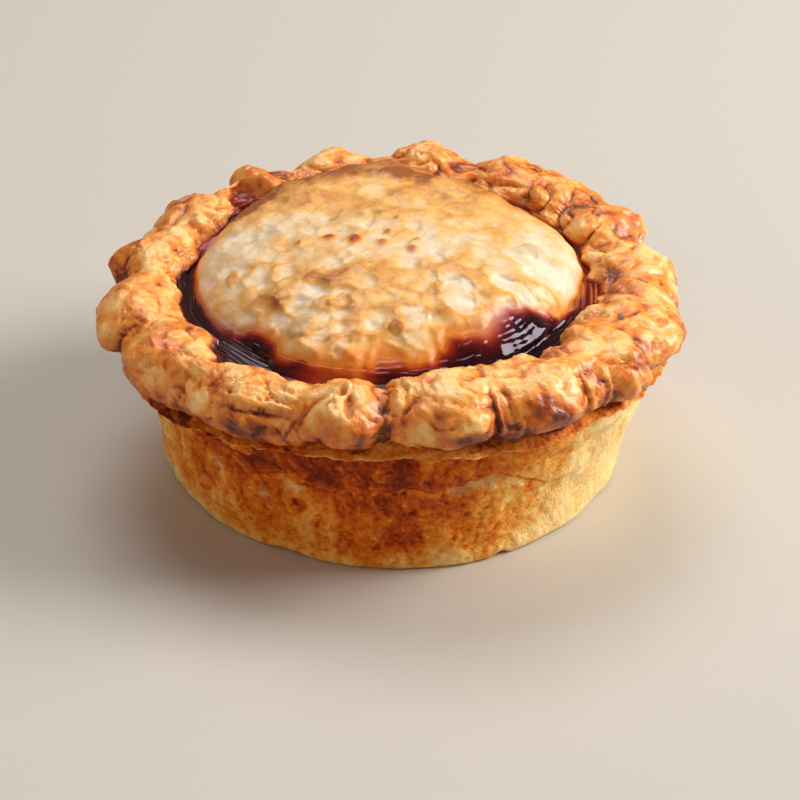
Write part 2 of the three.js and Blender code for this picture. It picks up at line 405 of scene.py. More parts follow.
def patched(p, patches, across):
    """Browning, standing and the share of each kind. Patches give a kind, a place, half a length, half a width and a
    turn, and across gives the distances from a patch's place"""
    browning, standing = np.zeros(len(p)), np.zeros(len(p))
    share = {kind: np.zeros(len(p)) for kind in PATCH_KINDS}
    for n, (kind, a, b, length, width, turn) in enumerate(patches):
        browns, stands, soft = PATCH_KINDS[kind]
        u, v = across(a, b)
        near = np.abs(u) + np.abs(v) < PATCH_REACH * (length + width)
        u, v = u[near], v[near]
        c, s = math.cos(math.radians(turn)), math.sin(math.radians(turn))
        away = np.hypot((u * c + v * s) / length, (v * c - u * s) / width)
        away += 0.3 * rough(p[near], 4, PATCH_SEED + n)
        inside = 1 - step(away, PATCH_EDGE - soft, PATCH_EDGE + soft)
        browning[near] += browns * inside
        standing[near] += stands * inside
        share[kind][near] = np.maximum(share[kind][near], inside)
    return browning, standing, share


# The crimped rim, with the moat's floor behind it

RIM_LAST = 9  # the number of the section's last visible point
RIM_END = 13  # and of the point that closes it
RIM_PITCH = 5  # about the distance between those points
RIM_RINGS = 106
RIM_STEPS = 800
RIM_PATCHES = [
    ("torn", 260.2, 4.3, 1.3, 3, 15), ("torn", 258, 5, 1.2, 1.1, 40), ("flake", 255.4, 4.3, 1.8, 3, -10),
    ("crumb", 257.4, 4.5, 0.8, 0.9, 0), ("crumb", 258.6, 5.2, 1, 0.7, 30), ("crumb", 256.7, 4, 0.7, 0.9, 20),
    ("crumb", 258, 3.7, 0.7, 0.8, 0), ("crumb", 257, 5, 0.6, 0.6, 0), ("crack", 256.2, 4.5, 0.3, 2.6, -20),
    ("crack", 240.5, 3.5, 7.5, 0.45, 3), ("tan", 241, 2.7, 7, 2.4, 0), ("crack", 248.6, 2.8, 0.4, 3, -12),
    ("curl", 259.4, 5.4, 1.6, 0.8, 10), ("curl", 241, 3.9, 8, 0.9, 3), ("flake", 261.6, 4.9, 1.4, 2.6, 20),
    ("brown", 250.5, 4.4, 2.6, 4, 0), ("flake", 240, 4.4, 8, 1.7, 4), ("flake", 232, 5.4, 5, 2, -20),
    ("brown", 231, 4.2, 2.2, 3, 0), ("brown", 278, 3, 1.6, 4.5, 0), ("pale", 284, 3.4, 3.2, 4.5, 0),
    ("flake", 281, 5.7, 4.5, 1.5, 0), ("brown", 299, 3.3, 3.6, 4, 0), ("toasted", 301.5, 2.9, 1.8, 1.8, 0),
    ("pale", 306.4, 3.6, 3, 4.5, 0), ("tan", 314, 2.6, 2.4, 3, 0), ("toasted", 325, 3.7, 3.2, 2.6, 30),
    ("pale", 322, 5, 4, 2.6, 0), ("flake", 312, 6.4, 2.4, 1.6, 10), ("flake", 303, 6.1, 1.8, 1.4, 0),
    ("pale", 337, 4.4, 3.4, 5, 0), ("brown", 332, 4, 1.2, 4.5, 0), ("brown", 346, 2.6, 4, 2.6, 0),
    ("tan", 350, 5.4, 4, 2, 20), ("tan", 358, 6.2, 4, 1.6, -20), ("tan", 5, 6, 3.6, 1.8, 25),
    ("pale", 8, 4.4, 6, 3, 0), ("blister", 149, 6.7, 2.8, 2.8, 0), ("blister", 155, 6.2, 2.2, 2.6, 0),
    ("pale", 164, 6.6, 2.6, 4, 0), ("toasted", 187, 5.9, 2.6, 1.8, 10), ("flake", 205, 5.6, 2, 1.4, 40),
    ("flake", 212, 5.2, 2.2, 1.6, 0), ("flake", 199, 5.2, 1.6, 1.2, 80), ("flake", 217, 6, 2.6, 1.4, 10),
    ("flake", 224, 5.8, 2, 1.3, 30), ("flake", 193, 5.1, 1.5, 1.2, 20), ("brown", 170, 2.9, 9, 3, 0),
    ("brown", 190, 2.9, 9, 3.4, 0), ("brown", 213, 2.4, 11, 4, 0), ("scorched", 199.5, 1.9, 3.5, 2, 0),
    ("toasted", 66, 7, 2, 1.6, 0), ("pale", 56, 6.8, 2, 2.6, 0), ("pale", 47, 6.4, 2.2, 2.6, 0),
    ("pale", 39, 6.9, 2, 2.4, 0), ("pale", 30, 6.6, 2, 2.6, 0), ("pale", 23, 6.2, 2.4, 2.4, 0),
    ("gold", 100, 4.5, 12, 4, 0), ("gold", 122, 4.4, 10, 4, 0), ("toasted", 97, 6.6, 4.5, 1.2, 0),
    ("scorched", 134.5, 7, 3.4, 2, 0), ("brown", 258.5, 2.9, 5, 4, 0), ("brown", 305, 2.8, 4.5, 3.4, 0),
    ("brown", 283, 2.4, 5, 2.6, 0),
]


def rim_section(degrees, along):
    """The rim's section, and how far each place is from its lobe's middle"""
    front = toward(degrees, FRONT, 75)
    ear = turn_from(degrees, EAR)
    ear = step(ear, -11, -3) * (1 - step(ear, -0.6, 1.4))
    # The pinches run askew, but not at the ear
    ring = upright(degrees, 62, RIM_PITCH * along)
    degrees = (degrees + 2 * (1 - ear) * bumps(ring, 11, 3)) % 360
    reach, rise, hang, pinch, from_lobe = crimp_at(degrees)
    moat = moat_at(degrees)
    smooth = toward(degrees, LEFT, 70)
    # Front right, the pinches do not reach the crown
    low = step(turn_from(degrees, 276), -6, 6) * (1 - step(turn_from(degrees, 330), 0, 16))
    outer = RIM_RADIUS + reach - PINCH_DEPTH * pinch + 3.6 * ear
    shelf = RIM_RADIUS + 0.4 * reach - 0.35 * PINCH_DEPTH * pinch  # left under the pinches
    crown = RIM_HEIGHT + rise - PINCH_DIP * pinch * (1 - 0.4 * smooth) * (1 - 0.6 * low)
    notch = np.maximum(pinch, np.clip(-reach / 3, 0, 1)) * mix(0.5, 1, front)
    near = moat.inner + PINCH_SWELL * (pinch - 0.5) * (1 - 0.5 * front)
    under = LOBE_BOTTOM - hang
    brow = mix(outer, shelf, mix(0.4, 0.9, front)) - 4.4 - 0.5 * notch * front
    points = [
        # Out under the lobe and up its outer side
        (WALL_TOP_RADIUS - 1, WALL_HEIGHT),
        (shelf - 5, under - 0.6),
        (mix(shelf, outer, 0.7) - 1, mix(under, crown, 0.16)),
        (outer - 0.4, mix(under, crown, 0.54 - 0.24 * notch)),
        (brow, mix(under, crown, 0.89 - 0.2 * notch)),
        # Over the crown and down to the moat's floor
        (mix(near, mix(outer, RIM_RADIUS, low), 0.5), crown),
        (near + 3.8, mix(moat.floor, crown, mix(0.84, 0.93, front))),
        (near + 1.1, mix(moat.floor, crown, mix(0.5, 0.62, front))),
        (near - 0.6, mix(moat.floor, crown, 0.22)),
        (moat.inner - 1.5, moat.floor),
        # In under the lid and back below the floor
        (moat.lid - 4, moat.floor),
        (moat.lid - 4, moat.floor - 3),
        (58, WALL_HEIGHT - 3),
    ]
    points.append(points[0])
    return through(points, along), from_lobe


def make_rim():
    seen = np.linspace(0, RIM_LAST, RIM_RINGS, endpoint=False)
    hidden = np.arange(RIM_LAST, RIM_END, 0.5)
    piece = turned("crimped_rim", [*seen, *hidden], True, RIM_STEPS)
    along, degrees = places(piece)
    section, from_lobe = rim_section(degrees, along)
    p = upright(degrees, *section.T)
    out = put(piece, p)

    # Where on the section, and on which side of the pie
    shown = step(along, 0.2, 0.8) * (1 - step(along, 8.2, 9))
    outer = hump(along, 2.6, 2)
    top = hump(along, 4.6, 1.8)
    inner = hump(along, 6.8, 2.2)
    under = hump(along, 0.9, 1.3)
    inward = step(along, 5, 6)
    back_right = toward(degrees, 35, 70)
    left = toward(degrees, LEFT, 65)
    front = toward(degrees, 285, 65)

    # Swollen lumps with valleys between them, flakes, and the ends of thin layers round the underside
    browning, standing, share = patched(
        p, RIM_PATCHES,
        lambda a, b: (turn_from(degrees, a) * math.radians(1) * section[:, 0], RIM_PITCH * (along - b)))
    warp = warped(p, 6, 41, 1.4)
    swell = bumps(warp, 8, 5)
    lumps = np.abs(swell)
    crease = np.exp(-((swell / 0.07) ** 2))
    small = np.abs(bumps(warp, 4.2, 9))
    tiny = np.abs(bumps(warp, 2.2, 11))
    layers = bumps(p * (0.12, 0.12, 1), 1.3, 21)
    groove = from_lobe ** 10 * front
    blistered = inner * back_right
    calm = 1 - np.maximum(0.3 * left, 0.25 * front * hump(along, 3, 2.6))
    flakes = layered(warp, 9, 33, 7)
    patchy = step(bumps(p, 13, 36), -0.15, 0.35) * (0.35 + 0.65 * calm) * (top + inner + 0.6 * outer)
    scales = scaly(warp, 12, 35, 4)
    # Folds drawn out along the rim
    drawn = upright(degrees, 22, RIM_PITCH * along + 2.5 * bumps(p, 9, 38))
    folds = scaly(drawn, 5, 39, 2) * np.maximum(front, left) * hump(along, 3.4, 2.4)
    relief = (0.7 * rough(p, 15, 1, 2) + (1.5 * calm + 1.6 * blistered) * lumps
              - (0.1 * calm + 0.35 * blistered) * crease)
    relief += (0.65 * calm + 0.3 * blistered) * small + 0.08 * calm * tiny + 0.4 * (top + inner + 0.4 * outer) * flakes
    relief += standing - 0.6 * groove * outer + 0.5 * patchy * scales + 0.2 * scaly(warp, 5.5, 37, 3) * (top + inner)
    relief += 0.3 * layers * under + 0.05 * rough(p, 1.7, 30, 2) + 0.55 * folds * (0.4 + 0.6 * left)
    p = p + out * (shown * (relief - 0.9))[:, None]
    out = put(piece, p)
    small_hollows = hollows(p, out, along, degrees, RIM_STEPS, 2)
    wide_hollows = hollows(p, out, along, degrees, RIM_STEPS, 7)

    # Darker behind; browner under the lobes, partly as painted shade; paler on flakes and blisters
    bake = (0.29 + 0.03 * front + 0.06 * step(p[:, 1], -10, 30) + 0.3 * rough(p, 11, 50) + 0.22 * rough(p, 4.5, 51)
            + 0.12 * under + 0.06 * outer + browning)
    bake -= 0.2 * (small - 0.25) + 0.4 * blistered * (lumps - 0.25) + 0.15 * flakes
    # Painted shade low under the lobes, and a painted shadow below each flake edge
    bake += 0.25 * hump(along, 1.5, 1.5) - 0.3 * patchy * (step(scales, 0.5, 0.85) - 0.3)
    # Painted shade low on the front lobes, and painted light on their crowns
    bake += 0.14 * front * (1 - step(along, 2.2, 4.2)) - 0.1 * front * hump(along, 5, 1.4)
    # Painted shade in grooves, creases, recessed layers, hollows and on faces that look down
    dark = 0.5 * groove * outer + (0.08 + 0.12 * blistered) * crease * calm
    dark += 0.3 * under * step(-layers, 0.1, 0.5) + np.clip(small_hollows, -0.1, 0.4) + 1.1 * np.clip(wide_hollows, -0.3, 0.45)
    dark += 0.3 * step(-out[:, 2], -0.2, 0.6) * step(along, 0.5, 1)
    # Juice has wetted the inner side, up from the syrup
    wet = 2.8 + 2 * bumps(p, 5, 60) - toward(degrees, 185, 45)
    level = mix(SYRUP_LEVEL, moat_at(degrees).edge - 2.4, toward(degrees, 52, 34) + toward(degrees, 146, 22))
    stain = (1 - step(p[:, 2], level - 0.3, level + np.maximum(wet, 0.6))) ** 1.4 * inward
    stain *= 1 - 0.36 * toward(degrees, BACK_GAP, 12)
    stain = np.maximum(stain, np.maximum(0.34 * share["torn"], 0.62 * share["scorched"] * inward))
    paint(piece, bake=bake, dark=dark, stain=stain)
    return piece


# The thin torn edge of the bottom crust, under the rim

# Angle, and height of the lip's lower edge
LIP = np.array([
    (0, 36), (60, 35.5), (120, 36), (170, 34.5), (190, 33), (203, 31.5), (212, 30.6), (220, 31), (227, 32),
    (237, 33.2), (249, 34.6), (257, 35.2), (265, 35.6), (276, 36.2), (286, 35.8), (299, 35.3), (315, 36), (340, 36.4),
    (360, 36),
])
LIP_STEPS = 900
LIP_RINGS = 48


def make_lip():
    piece = turned("flaky_lip", np.linspace(0, 6, LIP_RINGS, endpoint=False), True, LIP_STEPS)
    along, degrees = places(piece)
    ring = upright(degrees, 64, 0)
    crimp = crimp_at(degrees)
    ragged = 0.5 * rough(ring, 9, 80) + 0.3 * rough(ring, 2.2, 81, 2)
    top = LOBE_BOTTOM - crimp.hang + 1.6
    bottom = np.interp(degrees, *LIP.T) + ragged
    outer = 66.2 + 0.4 * crimp.reach + 0.7 * rough(ring, 11, 82) + 0.3 * rough(ring, 3, 83, 2)
    points = [
        (WALL_TOP_RADIUS - 1, top),
        (outer - 3.4, top),
        (outer - 2.6, mix(top, bottom, 0.5)),
        (outer - 0.9, mix(top, bottom, 0.82)),
        (outer, bottom),
        (WALL_TOP_RADIUS - 0.6, bottom + 0.9),
    ]
    points.append(points[0])
    p = upright(degrees, *through(points, along).T)
    out = put(piece, p)
    shown = hump(along, 3, 2.4)
    layers = 0.8 * bumps(p * (0.1, 0.1, 1), 0.9, 87) + 0.35 * bumps(p * (0.3, 0.3, 1), 0.8, 89)
    p = p + out * (shown * (0.35 * layers + 0.3 * rough(p, 3, 88)))[:, None]
    put(piece, p)
    # Browner at the left and near the lobes, and darker in the layers' hollows, as painted shade; with a pale floury
    # edge here and there
    bake = (0.5 + 0.1 * toward(degrees, 225, 35) - 0.12 * toward(degrees, 268, 30) + 0.3 * hump(along, 1.6, 1.6)
            + 0.3 * rough(p, 6, 85) + 0.2 * toward(degrees, 215, 40) - 0.25 * layers
            - 0.6 * hump(along, 4, 0.55) * step(rough(p, 5, 86), -0.4, 0.1))
    paint(piece, bake=bake, dark=0.25 * step(-layers, 0.1, 0.5), stain=0 * bake)
    return piece


# The wall and base

# The tear round the wall: angle, height, and how far the upper layer stands out
TEAR = np.array([
    (0, 20, 0.2), (40, 25, 0.6), (70, 27, 0.2), (110, 23, 0.8), (150, 26, 0.4), (190, 24, 0.7), (222, 29, 0.3),
    (233.5, 25.8, 0.8), (237.2, 22.4, 1), (241, 24.1, 1), (244.3, 24.8, 0.9), (247.8, 23.7, 0.8), (254, 23.3, 0.2),
    (263, 24, 0.2), (269, 24.9, 0.8), (275, 25.4, 1), (281, 24.9, 1), (287, 26.2, 1), (292, 27, 1), (299, 24.3, 0.8),
    (306, 18.7, 0.5), (316, 17, 0.2), (360, 20, 0.2),
])
WALL_STEPS = 760
WALL_ALONG = [*np.linspace(0, 1, 10, endpoint=False), *np.linspace(1, 2, 6, endpoint=False),
              *np.linspace(2, 3, 98), 3.5, 4]
WALL_PATCHES = [
    ("grey", 289.5, 24.6, 5.2, 1.5, 5), ("grey", 284, 22.8, 2.6, 1.2, -10), ("grey", 239, 16.5, 1.4, 2.2, 20),
    ("grey", 226, 19.5, 1.4, 2.6, 20), ("grey", 246, 21.6, 2.6, 1.2, -20), ("tan", 267, 20.4, 1.3, 2.6, 10),
    ("tan", 248, 16.6, 2.4, 2, 0), ("brown", 302, 20, 3, 3, 0), ("flake", 235, 30, 5, 2.4, -20),
    ("gold", 243, 28, 6, 2.5, -10), ("gold", 312, 22, 2, 6, 0), ("gold", 322, 20, 1.8, 8, 5),
    ("gold", 330, 24, 1.6, 6, 0), ("tan", 336, 18, 1.4, 5, 0), ("grey", 100, 20, 4, 1.6, 0),
    ("grey", 170, 17, 2, 2.6, 20), ("brown", 60, 18, 6, 4, 0), ("flake", 130, 29, 5, 2, 8),
    ("flake", 20, 28, 5, 2, -8), ("brown", 190, 14, 5, 4, 0),
]


def wall_section(degrees, along):
    """The wall's section: along runs 0 to 1 over the base, to 2 round its corner, to 3 up the wall, to 4 inside"""
    foot = (BASE_RADIUS - BASE_ROUND, 0)
    wall_foot = (BASE_RADIUS + 0.2 * BASE_ROUND, BASE_ROUND)
    wall_top = (WALL_TOP_RADIUS, WALL_HEIGHT)
    base = np.stack([foot[0] * np.clip(along, 0, 1), 0 * along], 1)
    corner = bezier([foot, (BASE_RADIUS, 0), wall_foot], np.clip(along - 1, 0, 1))
    wall = bezier([wall_foot, (BASE_RADIUS + WALL_BULGE, WALL_HEIGHT / 2), wall_top], np.clip(along - 2, 0, 1))
    wall[:, 0] += wall_swell(wall[:, 1], degrees)
    inside = np.stack([96 * np.clip(4 - along, 0, 1), WALL_HEIGHT + 1 + 0 * along], 1)
    section = spans(along, base, corner, wall, inside)
    # It leans in more at the right
    lean = 2.6 * toward(degrees, 334, 62) * (1 - step(section[:, 1], 6, 33))
    section[:, 0] -= lean * step(along, 0.5, 1)
    return section


def make_wall():
    piece = turned("pie_wall", WALL_ALONG, False, WALL_STEPS)
    along, degrees = places(piece)
    section = wall_section(degrees, along)
    p = upright(degrees, *section.T)
    out = put(piece, p)

    shown = step(along, 1.2, 2.05) * (1 - step(along, 2.97, 3))
    height = p[:, 2]
    browning, standing, share = patched(
        p, WALL_PATCHES, lambda a, b: (turn_from(degrees, a) * math.radians(1) * section[:, 0], height - b))
    # The upper layer of crust ends at a ragged tear
    ring = p * (1, 1, 0)
    tear = np.interp(degrees, TEAR[:, 0], TEAR[:, 1]) + 1.1 * bumps(ring, 5, 170) + 0.6 * bumps(ring, 2, 171)
    torn = np.interp(degrees, TEAR[:, 0], TEAR[:, 2]) * (0.6 + 0.8 * np.clip(bumps(ring, 9, 172), 0, 1))
    ledge = torn * step(height, tear - 0.3, tear + 0.3) * (1 - step(height, tear + 1.5, tear + 8))
    warp = warped(p, 6, 141, 1.2)
    swell = bumps(warp, 7, 105)
    small = np.abs(bumps(warp * (1, 1, 0.7), 3.2, 107))
    right = 1 - step(np.abs(turn_from(degrees, 339)), 14, 60)
    pits = step(-bumps(p, 2.4, 108), 0.45, 0.65) * (1 - right)
    flakes = layered(warp * (1, 1, 0.8), 8, 133, 6)
    relief = 0.6 * rough(p, 14, 101) + 0.3 * np.abs(swell) + 0.25 * small - 0.2 * pits + standing + 0.6 * flakes
    relief *= 1 - 0.4 * right
    relief += 0.26 * (1 - 0.6 * right) * rough(p, 1.8, 103, 2) + 1.1 * ledge
    p = p + out * (shown * (relief - 0.3))[:, None]
    # The foot lifts off here and there
    lift = 0.5 * np.clip(bumps(ring, 12, 180), 0, 1) + 1.1 * toward(degrees, 297, 3)
    lift += 0.9 * toward(degrees, 244, 9)
    p[:, 2] += lift * step(along, 0.85, 1.2) * (1 - step(height, 0, 7))
    out = put(piece, p)

    # Baked darker above the tear, paler at the foot and in crumbs; paler crust and painted light at the right; painted
    # shade in pits and hollows, below the tear's ledge and higher up under the rim
    small_hollows = hollows(p, out, along, degrees, WALL_STEPS, 2)
    bake = 0.57 + 0.15 * rough(p, 18, 150, 2) + 0.1 * rough(p * (1, 1, 0.6), 4.5, 151) + browning - 0.08 * flakes
    bake += 0.1 * step(height, tear, tear + 2) * (1 - right) - 0.3 * (1 - step(height, 1, 9))
    # Painted light: paler at the right, where light falls, as well as paler crust
    bake -= 0.62 * right + 0.3 * toward(degrees, 200, 26)
    # Painted shade: darker higher up, under the rim
    bake += 0.08 * step(height, 18, 27) * (1 - right) + 0.1 * rough(p * (1, 1, 0.5), 8, 152)
    bake -= 0.2 * torn * hump(height, tear - 1.6, 2) + 0.2 * (small - 0.25)
    bake -= 0.22 * step(bumps(p, 1.3, 160), 0.5, 0.75)
    # Painted shade in pits and hollows, and a painted shadow below the tear's ledge
    dark = 0.15 * pits + 0.5 * torn * hump(height, tear - 0.4, 0.9) + 1.5 * np.clip(small_hollows, -0.1, 0.3)
    paint(piece, bake=bake, dark=dark, stain=0 * bake, window=0.6 * share["grey"])
    return piece


# The domed lid

LID_STEPS = 600
LID_ALONG = [*np.linspace(0, 1, 72, endpoint=False), *np.linspace(1, 2, 66, endpoint=False),
             *np.linspace(2, 3, 12, endpoint=False), 3, 3.5, 4]
LID_TOP_RINGS = 148  # those before the lip turns back in
LID_PATCHES = [
    ("tan", -26, -16, 3.2, 2.4, 20), ("tan", -27, -21, 3.4, 2.4, 60), ("tan", -17, -14, 5, 3.2, 10),
    ("pale", -21, -20.5, 3.4, 3, 0), ("tan", -13, -24, 3.6, 3, 0), ("window", -22.7, -30.5, 3.6, 4.2, 0),
    ("pale", -27, -28, 2.4, 3.4, 20), ("tan", -31, -18, 2.2, 2.6, 0), ("toasted", -39.5, -8, 1.5, 4, 0),
    ("tan", -11.4, -36, 3.4, 1.8, 0), ("tan", 3.3, -22.5, 3, 3.4, 0), ("tan", 37, -16, 2.6, 5, 60),
    ("flake", 13.5, -21, 4.6, 6.5, 15), ("gold", 19, -17, 3, 4, 0), ("flake", 27, -14, 7, 3, -14),
    ("gold", 37, -12, 3, 6, 20), ("tan", -0.2, -32.6, 2, 1.6, 0), ("window", -12, 16, 5, 2.4, 10),
    ("window", 30, 4, 6, 2.5, 25), ("pale", 34, -3, 6, 5, 0), ("gold", 20, 12, 5, 4, 0), ("toasted", 2, 40, 7, 4, 0),
    ("tan", -18, 38, 8, 4, 20), ("tan", 18, 38, 6, 4, -20), ("toasted", -37, 26, 7, 3, 55),
    ("gold", -28, -6, 6, 3, 70), ("gold", 6, 18, 7, 3, 0), ("pale", -6, -30, 3, 3, 0), ("pale", -16, -34, 4, 2, 20),
    ("flake", -13, -38.5, 3, 1.6, 60),
]
# Fork marks: place, size, and how much juice shows in each
FORK_PRICKS = [
    (-24, 2.2, 0.8, 0.4), (-17.3, 4.6, 1.7, 0.66), (-11, 2.7, 1.7, 0.66), (-4.2, 0.5, 1.2, 0.44), (-3.1, 7, 0.9, 0.4),
    (-0.8, 14.3, 0.9, 0.3), (2.8, -1.6, 1.3, 0.44), (3.9, 3.7, 1, 0.4),
]


def lid_section(degrees, along):
    """The lid's section: along runs 0 to 1 over its cap, to 2 down its shoulder, to 3 round its lip, to 4 inside"""
    moat = moat_at(degrees)
    lid, edge, floor = moat.lid, moat.edge, moat.floor
    cap_edge = (LID_CAP_RADIUS, LID_HEIGHT - LID_CAP_DROP)
    cap_pull = (LID_CAP_RADIUS / 2, LID_HEIGHT)
    start = (lid - 2, edge)
    # The lid has sunk where much syrup lies on it
    sunk = step(lid - moat.shore, 1.5, 7)
    shoulder = (lid - 5, mix(np.maximum(edge + 4, cap_edge[1] - 3.5), edge + 2.4, sunk))
    under_cap = [at - 0.6 * (pull - at) for at, pull in zip(cap_edge, cap_pull)]
    cap = bezier([(0, LID_HEIGHT), cap_pull, cap_edge], np.clip(along, 0, 1))
    side = bezier([cap_edge, under_cap, shoulder, start], np.clip(along - 1, 0, 1))
    lip = bezier([start, (lid, mix(floor, edge, 0.7)), (lid - 0.3, floor - 1)], np.clip(along - 2, 0, 1))
    inside = np.stack([(lid - 0.3) * np.clip(4 - along, 0, 1), floor - 1], 1)
    return spans(along, cap, side, lip, inside)


def make_lid():
    piece = turned("flaky_lid", LID_ALONG, False, LID_STEPS)
    along, degrees = places(piece)
    p = upright(degrees, *lid_section(degrees, along).T)
    out = put(piece, p)
    flat = p * (1, 1, 0.4)
    x, y = p[:, 0], p[:, 1]
    radius = np.hypot(x, y)

    # Flakes and swollen lumps, sewn down in spots like a quilt, with fork marks
    warp = warped(flat, 7, 241, 1.6)
    swell = bumps(warp, 10, 205)
    small = bumps(warp, 5, 207)
    near, own = cells(warp, 5.5, 209)
    front = step(-y, -8, 20)
    dry = -past_shore(p)
    soaked = 1 - step(dry, 0, 2)
    quilt = step(near, 0.15, 0.8)
    flakes = layered(warp, 11, 233, 6)
    relief = 0.5 * rough(flat, 15, 201) + 0.4 * np.abs(swell) + 0.2 * np.abs(small) + 0.35 * flakes
    relief += 0.06 * rough(p, 2, 203, 2) - (0.55 + 0.2 * front) * quilt
    browning, standing, share = patched(p, LID_PATCHES, lambda a, b: (x - a, y - b))
    relief += 1.7 * standing
    prick, juicy = np.zeros(len(p)), np.zeros(len(p))
    for px, py, size, juice in FORK_PRICKS:
        mark = np.exp(-(((x - px) / size) ** 2 + ((y - py) / size / 1.3) ** 2))
        prick = np.maximum(prick, mark)
        juicy = np.maximum(juicy, juice * mark)
    relief -= 0.8 * prick
    shown = (1 - step(along, 2.2, 2.9)) * (1 - 0.6 * soaked)
    p = p + out * (shown * (relief - 0.4))[:, None]
    put(piece, p)

    # Juice has soaked into the edge: orange where it is thin, plum red above the pools
    width = 1.6 + 1.2 * bumps(p, 7, 270) + 2.5 * toward(degrees, 222, 14)
    width += 2.6 * toward(degrees, FRONT, 45) + 4 * toward(degrees, 255, 24)
    depth = 1 - 0.2 * toward(degrees, 20, 60) - 0.6 * toward(degrees, 110, 60)
    stain = 0.36 * depth * (1 - np.clip((dry - 0.2) / np.maximum(width, 0.6), 0, 1))
    # Darker between the lumps, baked darker in front and at the back edge, paler on flakes and at both sides
    bake = (0.34 - 0.05 * (1 - step(radius, 8, 24)) + 0.1 * rough(flat, 16, 250) + 0.09 * rough(flat, 6, 251)
            + 1.15 * browning + 0.11 * front)
    bake -= (0.1 * toward(degrees, 190, 60) * step(radius, 20, 40)
             + 0.2 * toward(degrees, 0, 50) * step(radius, 15, 35))
    bake += (0.14 + 0.22 * front) * (quilt - 0.4) + 0.1 * (own - 0.5) - 0.1 * flakes
    bake += 0.22 * step(y, 5, 30) + 0.45 * step(radius, 36, 51) * toward(degrees, 100, 85)
    bake += 0.2 * step(radius, 43, 47) * toward(degrees, 5, 70)
    # Painted shade in the creases between lumps; juice darkens the fork marks
    crease = np.exp(-((swell / 0.03) ** 2))
    paint(piece, bake=bake, dark=0.12 * crease + 0.9 * juicy, stain=np.maximum(stain, juicy), plum=plum_at(degrees),
          window=share["window"])

    # The finished lid's height by step and ring, for the syrup on it
    almost = 1e-4  # along has been rounded
    ring = np.searchsorted(LID_ALONG, along - almost)
    rings = np.zeros((LID_STEPS, len(LID_ALONG), 2))
    rings[nearest_step(degrees, LID_STEPS), ring] = np.stack([np.hypot(p[:, 0], p[:, 1]), p[:, 2]], 1)
    rings[:, 0] = (0, p[np.argmin(along), 2])
    return piece, rings[:, :LID_TOP_RINGS]


def lid_height(lid_rings, degrees, radius):
    """The finished lid's height at an angle and radius"""
    turn = degrees / 360 * LID_STEPS
    before = np.floor(turn).astype(int)
    height = np.zeros(len(turn))
    for n in np.unique(before):
        here = before == n
        a, b = lid_rings[n % LID_STEPS], lid_rings[(n + 1) % LID_STEPS]
        height[here] = mix(np.interp(radius[here], *a.T), np.interp(radius[here], *b.T), turn[here] - n)
    return height


# Syrup in the moat

SYRUP_STEPS = 900
SYRUP_RINGS = 76
FOLD_WIDTH = 1.5


